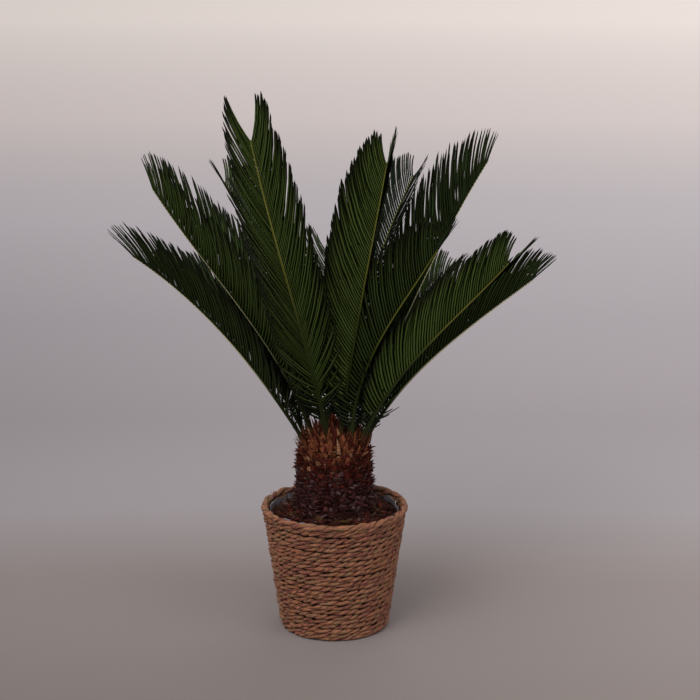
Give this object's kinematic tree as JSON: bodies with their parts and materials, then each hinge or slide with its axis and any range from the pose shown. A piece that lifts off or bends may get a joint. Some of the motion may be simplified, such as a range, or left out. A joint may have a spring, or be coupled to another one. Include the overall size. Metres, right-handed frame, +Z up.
{
  "type": "potted_sago_palm",
  "caption": "Sago palm with a short scaly trunk and a full crown of stiff feather fronds, planted in a tapered seagrass rope basket with a film liner",
  "frame": {"origin": "middle of the basket's flat underside", "axes": "+Z up along the basket and the trunk, -Y towards the viewer of the picture, +X to that viewer's right"},
  "size_m": [0.6188, 0.6265, 0.8014],
  "materials": {
    "basket_rope": "twisted seagrass rope, matt",
    "liner_film": "thin crinkled film",
    "soil_bark": "potting mix with bark",
    "trunk_scales": "scaly leaf bases, matt",
    "frond_green": "waxy leaf, satin"
  },
  "bodies": {
    "root": {"basket": "basket_rope", "liner": "liner_film", "soil": "soil_bark", "trunk": "trunk_scales", "frond_01": "frond_green", "frond_02": "frond_green", "frond_03": "frond_green", "frond_04": "frond_green", "frond_05": "frond_green", "frond_06": "frond_green", "frond_07": "frond_green", "frond_08": "frond_green", "frond_09": "frond_green", "frond_10": "frond_green", "frond_11": "frond_green", "frond_12": "frond_green", "frond_13": "frond_green", "frond_14": "frond_green", "frond_15": "frond_green"}
  },
  "joints": []
}
